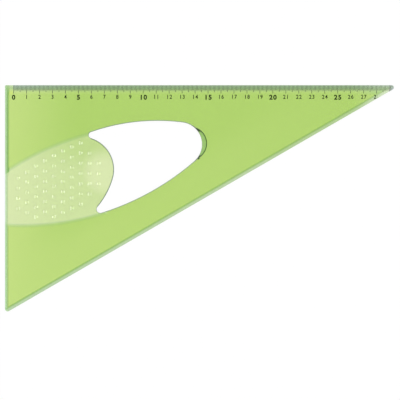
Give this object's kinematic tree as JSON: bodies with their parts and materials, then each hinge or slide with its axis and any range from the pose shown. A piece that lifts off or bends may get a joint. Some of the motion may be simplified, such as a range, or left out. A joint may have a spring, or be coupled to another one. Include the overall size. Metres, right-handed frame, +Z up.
{
  "type": "drafting triangle",
  "caption": "Clear right-angled drafting triangle with a bevelled printed scale edge, stepped ruling edges, a dotted grip field and a hand cut-out.",
  "frame": {"origin": "middle of the outline's box, on the flat underside", "axes": "+X along the long leg towards the sharp nose, +Y towards the scale edge, +Z up out of the printed face"},
  "size_m": [0.3, 0.1746, 0.002],
  "materials": {
    "green_plastic": "clear lime green moulded plastic, polished",
    "clear_drops": "clear soft drops, glossy",
    "scale_ink": "printed black ink"
  },
  "bodies": {
    "root": {"triangle_plate": "green_plastic", "grip_dots": "clear_drops", "millimetre_ticks": "scale_ink", "half_centimetre_ticks": "scale_ink", "centimetre_ticks": "scale_ink"}
  },
  "joints": []
}
